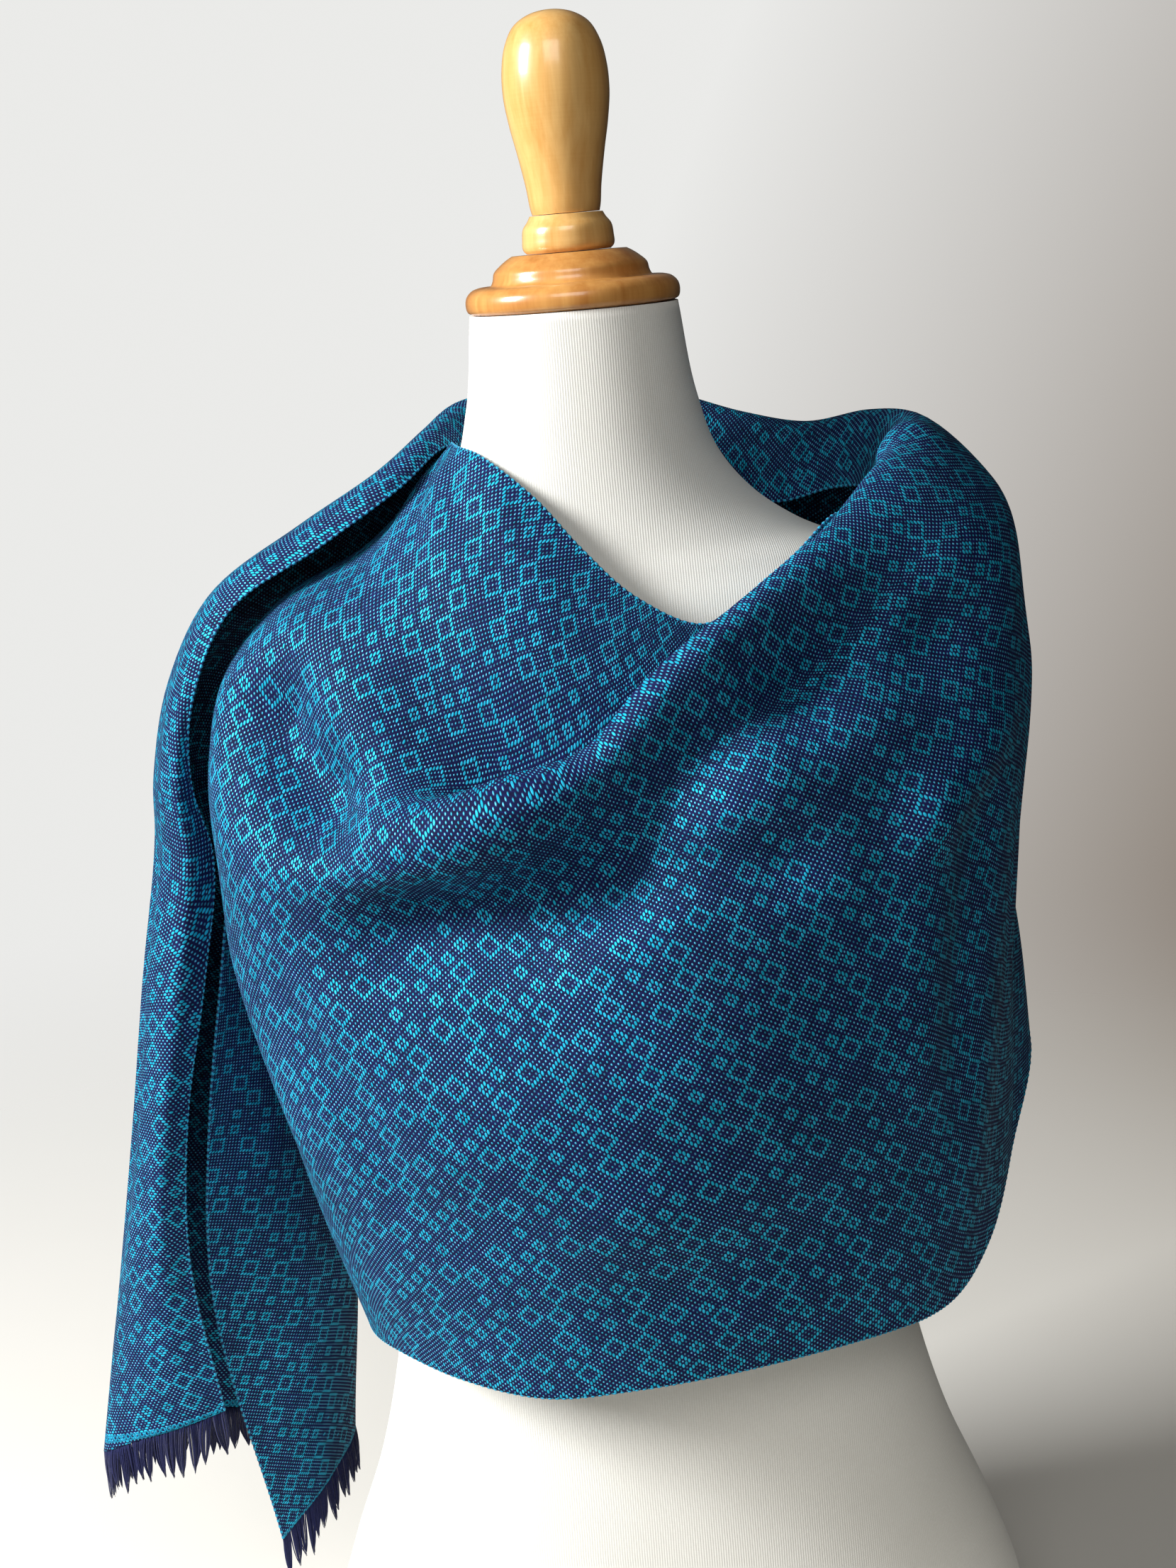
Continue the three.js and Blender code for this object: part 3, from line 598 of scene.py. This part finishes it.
def weave_look(name):
    """Navy ground with a weft dot at each point of a slanting lattice. u and v count dots along its two
    directions, ru and rv name the nearest dot, and iu and iv name the diamond that it belongs to."""
    look = Look(name)
    s, t, _ = look.split(look.coordinate(2))
    across = DOT_PITCH * math.sqrt(2)
    u, v = (s + t) / across, (s - t) / across
    ru, rv = u.round(), v.round()
    fu, fv = u - ru, v - rv
    ds, dt = (fu + fv) * math.sqrt(0.5), (fu - fv) * math.sqrt(0.5)
    iu, iv = (ru / CELL_DOTS).floor(), (rv / CELL_DOTS).floor()
    lu = ru - iu * CELL_DOTS - (CELL_DOTS - 1) / 2
    lv = rv - iv * CELL_DOTS - (CELL_DOTS - 1) / 2
    ring = lu.abs().max(lv.abs())
    parity = ((iu + iv) / 2.0).fract() * 2.0
    phase = ((iv + 0.5) * (CELL_DOTS / REPEAT_DOTS) + (iu + 0.5) * (CROSS_RATE * CELL_DOTS / REPEAT_DOTS)
             + parity * 0.5).fract() - 0.5
    size = phase.abs() * -SHRINKING + LARGEST_RING
    shown = size.above(-0.35)
    bright = ((ring - size).abs().math("LESS_THAN", 0.5)) * shown
    side = phase.math("SIGN")
    dark = ((ring - size - side).abs().math("LESS_THAN", 0.5)) * size.above(0.0)
    chance = look.random(look.join(ru, rv))
    wide, long = bright * 0.06 + 0.20, bright * 0.24 + 0.29
    reach = ((ds / wide) * (ds / wide) + (dt / long) * (dt / long)).math("SQRT")
    soft = bright * -0.2 + 0.75
    dot = ((bright * 0.1 + 1.25 - reach) / soft).clamp() * (dark * -0.5 + 1.0)
    thread = look.noise(look.join(s * 260.0, t * 1500.0), 1.0, 2.0)
    ground = look.mix((thread - 0.35) * 1.5, NAVY, NAVY_LIGHT)
    pale = ((-bright) * 0.8 + 1.0) * (chance * 0.7 + 0.3)
    weft = look.mix(pale, TURQUOISE, PALE)
    uneven = look.noise(look.join(s, t), 22.0, 2.0) * 0.5 + (chance * 0.30 + 0.50)
    colour = look.mix(dot, ground, weft)
    # the hemstitching: a chain of small turquoise loops along the cut end, where s reaches zero
    loop_t = ((t / LOOP_PITCH).fract() - 0.5) * (LOOP_PITCH / MM)
    loop_s = s * (1 / MM) + 2.5
    loop = ((loop_t * loop_t + loop_s * loop_s).math("SQRT") - 1.3).abs() * -2.6 + 1.7
    rail = (s * (1 / MM) + 0.6).abs() * -2.5 + 1.1
    uneven_stitch = (look.noise(look.join(s, t), 420.0, 2.0) * 2.0 - 0.1).clamp()
    stitched = loop.max(rail).clamp() * s.above(-STITCH_DEPTH) * uneven_stitch
    colour = look.mix(stitched, colour, STITCH)
    toned = look.node("HueSaturation", {"Value": uneven, "Color": colour})
    height = dot * 0.8 + thread * 0.25 + stitched * 1.2
    look.set(Base_Color=look.wire(toned), Roughness=dot * -0.24 + 0.8, Specular_IOR_Level=0.16,
             Metallic=dot * 0.5, Normal=look.bump(height, 0.4 * MM, 0.8))
    return look.material


def yarn_look(name, colour, light):
    """Loose matt yarn with fine fibres."""
    look = Look(name)
    place = look.coordinate(3)
    fibre = look.noise(place, 900.0, 3.0)
    patch = look.noise(place, 60.0, 2.0)
    look.set(Base_Color=look.mix(fibre * 0.6 + (patch - 0.3) * 0.5, colour, light), Roughness=0.8,
             Specular_IOR_Level=0.25, Sheen_Weight=0.25, Sheen_Roughness=0.4,
             Normal=look.bump(fibre, 0.3 * MM, 0.8))
    return look.material


def edge_look(name):
    """The picot: turquoise where the weft turns, navy between."""
    look = Look(name)
    s, t, _ = look.split(look.coordinate(2))
    wave = (s * (2 * math.pi / PICOT_BEAT)).math("SINE")
    turn = ((wave + 0.1) / 0.5).clamp()
    look.set(Base_Color=look.mix(turn, shade(16, 52, 100), shade(34, 156, 194)), Roughness=0.7,
             Specular_IOR_Level=0.3, Sheen_Weight=0.1)
    return look.material


RIB_PITCH, ROW_PITCH = 1.25 * MM, 0.9 * MM     # the jersey's ribs, and its rows of stitches


def jersey_look(name):
    """Fine ribbed jersey, a little uneven."""
    look = Look(name)
    u, v, _ = look.split(look.coordinate(2))
    wobble = look.noise(look.join(u * 8.0, v * 8.0), 3.0, 2.0)
    rib = ((u * (1 / RIB_PITCH) + wobble * 0.8).fract() - 0.5).abs() * 2.0
    stitch = ((v * (1 / ROW_PITCH) + rib * 0.5).fract() - 0.5).abs() * 2.0
    speck = look.noise(look.coordinate(3), 700.0, 2.0)
    patch = look.noise(look.coordinate(3), 9.0, 3.0)
    tone = rib * 0.2 + stitch * 0.12 + speck * 0.3 + patch * 0.4
    look.set(Base_Color=look.mix(tone, shade(214, 210, 200), shade(244, 243, 238)), Roughness=0.85,
             Specular_IOR_Level=0.2, Sheen_Weight=0.15, Sheen_Roughness=0.5,
             Normal=look.bump(rib * 0.6 + stitch * 0.3 + speck * 0.25, 0.3 * MM, 0.4))
    return look.material


def wood_look(name, dark, light):
    """Varnished wood with upright grain and faint turning lines."""
    look = Look(name)
    x, y, z = look.split(look.coordinate(3))
    grain = look.noise(look.join(x * 60.0, y * 60.0, z * 5.0), 1.0, 5.0, 0.6)
    fine = look.noise(look.join(x * 420.0, y * 420.0, z * 16.0), 1.0, 3.0, 0.6)
    turned_line = look.noise(look.join(x * 2.0, y * 2.0, z * 900.0), 1.0, 2.0)
    tone = ((grain - 0.32) * 1.7 + (fine - 0.5) * 0.5 + (turned_line - 0.5) * 0.15).clamp()
    look.set(Base_Color=look.mix(tone, dark, light), Roughness=0.3, Specular_IOR_Level=0.5, Coat_Weight=0.6,
             Coat_Roughness=0.12, Normal=look.bump(fine * 0.4 + turned_line * 0.3, 0.12 * MM, 0.35))
    return look.material


# ---- The cloth -------------------------------------------------------------------------------
THICKNESS = 1.1 * MM
ALONG_PITCH, ACROSS_PITCH = 4.9 * MM, 5.1 * MM     # the mesh; finer would pass 200,000 triangles
PLAIN_PITCH, CREASED_PITCH = 30 * MM, 25 * MM      # the grids laid flat, before and after the creases
CHEST = 5                     # the named place whose length stands for the whole section
RIM = 0.02                    # a last narrow row of faces, so that the edges stay crisp


def with_rims(places, last):
    return np.concatenate([[0, RIM], places[1:-1], [last - RIM, last]])


def build_cloth():
    """The whole cloth as one thin shell. Returns it with its outer grid of points."""
    lengths = np.linalg.norm(np.diff(RIBS[:, CHEST], axis=0), axis=-1)
    widths = np.linalg.norm(np.diff(RIBS, axis=1), axis=-1).max(axis=0)
    alongs = with_rims(graded(lengths, ALONG_PITCH), END_RIB)
    acrosses = with_rims(graded(widths, ACROSS_PITCH), PLACES - 1)
    outer = sheet_points(alongs, acrosses)
    s, t = cloth_coordinates(outer, alongs, acrosses, lengths, widths, PLAIN_PITCH)
    outer = outer + grid_normals(outer) * crease_heights(s, t, alongs, acrosses)[..., None]
    s, t = cloth_coordinates(outer, alongs, acrosses, lengths, widths, CREASED_PITCH)
    points, faces = thin_shell(outer, THICKNESS)
    uv = np.stack([s.ravel(), t.ravel()], axis=1)
    cloth = new_object("stole_cloth", points, faces, weave_look("handwoven_cloth"), np.concatenate([uv, uv]))
    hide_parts("stole_upper_front", "stole_front", "stole_left_shoulder", "stole_back",
                "stole_right_shoulder", "stole_tail")
    return cloth, outer


def lengths_along(path):
    """The length from the start of a path to each of its points."""
    return np.concatenate([[0], np.cumsum(np.linalg.norm(np.diff(path, axis=0), axis=-1))])


def points_at(path, lengths, places):
    """Points on a path, at the given lengths from its start."""
    return np.stack([np.interp(places, lengths, path[:, k]) for k in range(3)], axis=-1)


PICOT_RADIUS, PICOT_SWELL, PICOT_SIDES = 0.62, 0.2, 6     # radii in millimetres
STEPS_A_BEAT = 6


def build_selvedge(name, path, look):
    """The beaded edge where the weft turns."""
    lengths = lengths_along(path)
    places = np.linspace(0, lengths[-1], max(3, int(lengths[-1] / (PICOT_BEAT / STEPS_A_BEAT))))
    radii = (PICOT_RADIUS + PICOT_SWELL * np.sin(places * 2 * np.pi / PICOT_BEAT)) * MM
    points, faces = tube(points_at(path, lengths, places), radii, PICOT_SIDES)
    uv = np.repeat(np.stack([places, places * 0], axis=1), PICOT_SIDES, axis=0)
    edge = new_object(name, points, faces, look, uv)
    return edge


# ---- Fringe ----------------------------------------------------------------------------------
LOCKS = 50
FIBRES = 15
FRINGE_LENGTH = 31 * MM
FIBRE_RINGS, FIBRE_SIDES = 7, 4


def build_fringe(edge_line, out_line, look):
    """Leaf-shaped locks of loose yarn along the cut edge, each a bundle of fibres."""
    rng = random.Random(SEED)
    lengths = lengths_along(edge_line)
    spacing = lengths[-1] / LOCKS
    way = np.linspace(0, 1, FIBRE_RINGS)[:, None]
    parts = []
    for k in range(LOCKS):
        middle = spacing * (k + 0.5)
        here, ahead = points_at(edge_line, lengths, np.array([middle - 1 * MM, middle + 1 * MM]))
        level = unit(unit(ahead - here) * (1, 1, 0))
        out = unit(points_at(out_line, lengths, middle))
        length = FRINGE_LENGTH * rng.uniform(0.80, 1.03)
        lean = rng.uniform(-3.4, 3.4) * MM
        sway = rng.uniform(-1.3, 1.3) * MM
        swell = rng.uniform(0.0, 1.2) * MM
        drop = np.array((0, 0, -length)) + level * lean + out * swell
        for f in range(FIBRES):
            share = (f + 0.5) / FIBRES - 0.5
            root = points_at(edge_line, lengths, middle + share * spacing)
            root = root - out * rng.uniform(0.0, 1.1) * MM + (0, 0, 0.8 * MM)
            reach = 1 - abs(2 * share) ** 1.6 * rng.uniform(0.02, 0.16) - rng.uniform(0, 0.05)
            closing = level * share * spacing * rng.uniform(0.80, 1.0)
            swing = level * (sway + rng.uniform(-0.5, 0.5) * MM) + out * rng.uniform(-0.5, 0.9) * MM
            path = root + drop * reach * way - closing * way ** 3.4 + swing * np.sin(np.pi * way)
            thick = rng.uniform(0.44, 0.60) * MM
            parts.append(tube(path, thick * (1 - 0.75 * way[:, 0] ** 4), FIBRE_SIDES, up=out))
    points, faces = gathered(parts)
    fringe = new_object("stole_fringe_locks", points, faces, look)
    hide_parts("stole_fringe")
    return fringe


# ---- Dress form: the same levels and profiles as the solids, finer ---------------------------
FORM_LEVELS = [
    (0, 186, 112, 122), (12, 193, 118, 128), (70, 192, 118, 130), (116, 178, 112, 126), (171, 157, 104, 112),
    (224, 143, 97, 98), (270, 135, 94, 92), (330, 141, 101, 93), (400, 152, 121, 98), (460, 160, 128, 102),
    (520, 165, 111, 106), (575, 168, 92, 107), (612, 169, 79, 100), (638, 157, 73, 88), (655, 131, 67, 78),
    (669, 103, 62, 71), (686, 81, 58, 65), (708, 65, 55, 60), (735, 57, 53, 56), (780, 51, 50, 51),
]
FULLNESS = 2.25               # 2 gives ellipses, more gives fuller corners
FORM_ROWS, FORM_SIDES = 191, 192
TURNED_SIDES = 96


def build_form(look):
    """The torso and neck. Its jersey's coordinates run round, zero at the front, and up."""
    table = np.array([(side, front, z) for z, side, front, back in FORM_LEVELS], float) * MM
    backs = np.array([(side, back, z) for z, side, front, back in FORM_LEVELS], float) * MM
    levels = np.linspace(0, len(FORM_LEVELS) - 1, FORM_ROWS)
    rows, depths = smooth_curve(table, levels), smooth_curve(backs, levels)[:, 1]
    angle = 2 * np.pi * (np.arange(FORM_SIDES + 1) / FORM_SIDES) + np.pi / 2
    bend = lambda value: np.sign(value) * np.abs(value) ** (2 / FULLNESS)
    x = rows[:, :1] * bend(np.cos(angle))[None]
    depth = np.where(np.sin(angle) > 0, depths[:, None], rows[:, 1:2])
    y = depth * bend(np.sin(angle))[None]
    grid = np.stack([x, y, np.repeat(rows[:, 2:], FORM_SIDES + 1, axis=1)], axis=-1)
    girth = np.linalg.norm(np.diff(grid, axis=1), axis=-1)
    around = np.concatenate([np.zeros((len(grid), 1)), np.cumsum(girth, axis=1)], axis=1)
    around = around - around[:, :1] - girth.sum(axis=1, keepdims=True) / 2
    ring = grid[:, :-1]
    uv = np.stack([around[:, :-1].ravel(), ring[..., 2].ravel()], axis=1)
    form = new_object("form_jersey", ring.reshape(-1, 3), tube_faces(len(grid), FORM_SIDES), look, uv)
    flatten_ends(form)
    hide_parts("form_body")


# The turned pieces: where each stands, and its profile as (radius, height) above that, in millimetres.
CAP_FOOT, COLLAR_FOOT, HANDLE_FOOT = 780.3, 807, 825
LEAST_RADIUS = 0.2 * MM       # at a profile's tip, so that no face has two corners in one place
CAP = [
    (0, 0), (49, 0), (51.5, 1.2), (52.5, 5), (51.8, 8.5), (49, 11.5), (45, 12.8), (39.5, 13.2), (38.5, 15),
    (37.5, 19), (34, 22.5), (29.5, 25.6), (28, 26.4), (0, 26.4),
]
COLLAR = [(0, 0), (20.5, 0), (22, 1.6), (22.3, 7), (21.5, 12), (19, 15.5), (17.8, 17.7), (0, 17.7)]
HANDLE = [
    (0, 0), (16.4, 0), (16.9, 2), (18.2, 12), (21, 28), (24, 43), (25.6, 56), (25.2, 68), (22.8, 79),
    (18, 87.5), (11, 92), (5, 93.6), (0, 94),
]


def build_turned(name, node, profile, foot, look, flat_top):
    """A turned wooden piece: its profile rounded, with flat faces where it meets the next."""
    body = np.array([(r, 0, z + foot) for r, z in profile], float) * MM
    inner = body[1:-1] if flat_top else body[1:]
    line = densely(inner)
    line[:, 0] = np.maximum(line[:, 0], LEAST_RADIUS)
    angle = 2 * np.pi * np.arange(TURNED_SIDES) / TURNED_SIDES
    points = np.stack([line[:, :1] * np.cos(angle), line[:, :1] * np.sin(angle),
                       np.repeat(line[:, 2:], TURNED_SIDES, axis=1)], axis=-1).reshape(-1, 3)
    piece = new_object(name, points, tube_faces(len(line), TURNED_SIDES), look)
    flatten_ends(piece)
    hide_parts(node)


# ---- Stage -----------------------------------------------------------------------------------
FLOOR_REACH, FLOOR_SIDES = 2.2, 64
FADE_FROM, FADE_OVER = 0.2, 1.6


def add_stage():
    """A round pale floor whose rim fades away, so that no horizon shows."""
    look = Look("pale_floor")
    place = look.coordinate(3)
    patch = look.noise(place, 3.0, 3.0)
    look.set(Base_Color=look.mix(patch, shade(226, 222, 214), shade(232, 229, 222)), Roughness=0.9,
             Specular_IOR_Level=0.2)
    x, y, _ = look.split(place)
    fade = (((x * x + y * y).math("SQRT") - FADE_FROM) / FADE_OVER).clamp()
    fade = fade * fade * (fade * -2.0 + 3.0)
    clear = look.node("BsdfTransparent")
    blend = look.node("MixShader", {0: fade})
    output = next(n for n in look.tree.nodes if n.type == "OUTPUT_MATERIAL")
    look.tree.links.new(look.shader.outputs[0], blend.inputs[1])
    look.tree.links.new(clear.outputs[0], blend.inputs[2])
    look.tree.links.new(blend.outputs[0], output.inputs["Surface"])
    mesh = bpy.data.meshes.new("floor")
    turns = [2 * math.pi * k / FLOOR_SIDES for k in range(FLOOR_SIDES)]
    rim = [(FLOOR_REACH * math.cos(turn), FLOOR_REACH * math.sin(turn), 0) for turn in turns]
    mesh.from_pydata(rim, [], [tuple(range(FLOOR_SIDES))])
    mesh.materials.append(look.material)
    floor = bpy.data.objects.new("floor", mesh)
    bpy.context.scene.collection.objects.link(floor)


def add_light(name, place, target, size, power, colour):
    """A rectangular light that faces its target."""
    data = bpy.data.lights.new(name, "AREA")
    data.shape, data.size, data.size_y = "RECTANGLE", size[0], size[1]
    data.energy, data.color = power, colour
    lamp = bpy.data.objects.new(name, data)
    lamp.location = place
    lamp.rotation_euler = (Vector(target) - Vector(place)).to_track_quat("-Z", "Y").to_euler()
    bpy.context.scene.collection.objects.link(lamp)


# the surround's pale side, and the colour of the painted shade towards its right
PALE_SIDE, PAINTED_SHADE_SIDE = shade(240, 240, 238), shade(120, 105, 90)
SEEN_STRENGTH = 0.95


def add_lights():
    """A window to the wearer's right, a weaker fill from the front, and a surround that is pale to the left
    with painted shade towards the right and low down. What lights the object is dimmer than what the camera
    sees."""
    add_light("front_fill", (-0.2, -2.3, 2.3), (0, 0, 0.5), (1.6, 1.2), 27, (1.0, 0.99, 0.97))
    add_light("window", (-2.15, -0.68, 1.80), (0, 0, 0.55), (0.8, 1.0), 136, (0.985, 0.995, 1.0))
    world = bpy.data.worlds.new("studio")
    world.use_nodes = True
    tree = world.node_tree
    background = next(n for n in tree.nodes if n.type == "BACKGROUND")
    split = tree.nodes.new("ShaderNodeSeparateXYZ")
    tree.links.new(tree.nodes.new("ShaderNodeTexCoord").outputs[0], split.inputs[0])
    side = Wire(tree, split.outputs[0])
    tint = tree.nodes.new("ShaderNodeMix")
    tint.data_type = "RGBA"
    # painted shade: the surround turns darker towards the right and low down, like a wall in shade
    painted_shade = (side * 2.4 - Wire(tree, split.outputs[2]) * 1.2 - 0.12).clamp()
    tree.links.new((painted_shade * (-((side - 0.42) / 0.3).clamp() * 0.8 + 1.0)).socket, tint.inputs[0])
    tint.inputs[6].default_value = (*PALE_SIDE, 1)
    tint.inputs[7].default_value = (*PAINTED_SHADE_SIDE, 1)
    tree.links.new(tint.outputs[2], background.inputs[0])
    seen = Wire(tree, tree.nodes.new("ShaderNodeLightPath").outputs[0])
    fill = (side * -0.5 + 0.5).clamp() * 0.20 + 0.02
    tree.links.new((seen * SEEN_STRENGTH + (-seen + 1.0) * fill).socket, background.inputs[1])
    bpy.context.scene.world = world
    bpy.context.scene.view_settings.view_transform = "Standard"


# ---- The scene -------------------------------------------------------------------------------
add_camera()
wood = wood_look("honey_wood", shade(204, 148, 76), shade(246, 206, 136))
cap_wood = wood_look("cap_wood", shade(180, 116, 52), shade(228, 172, 98))
build_form(jersey_look("ribbed_jersey"))
build_turned("form_wood_cap", "form_cap", CAP, CAP_FOOT, cap_wood, True)
build_turned("form_wood_collar", "form_collar", COLLAR, COLLAR_FOOT, wood, True)
build_turned("form_wood_handle", "form_handle", HANDLE, HANDLE_FOOT, wood, False)

cloth, outer = build_cloth()
outward = grid_normals(outer)
middle = outer - outward * THICKNESS / 2
picot = edge_look("selvedge_picot")
top_edge = build_selvedge("stole_selvedge_top", middle[:, 0], picot)
hem_edge = build_selvedge("stole_selvedge_hem", middle[:, -1], picot)
fringe_yarn = yarn_look("fringe_yarn", shade(10, 14, 48), shade(30, 36, 92))
fringe = build_fringe(middle[-1], outward[-1], fringe_yarn)
add_stage()
add_lights()
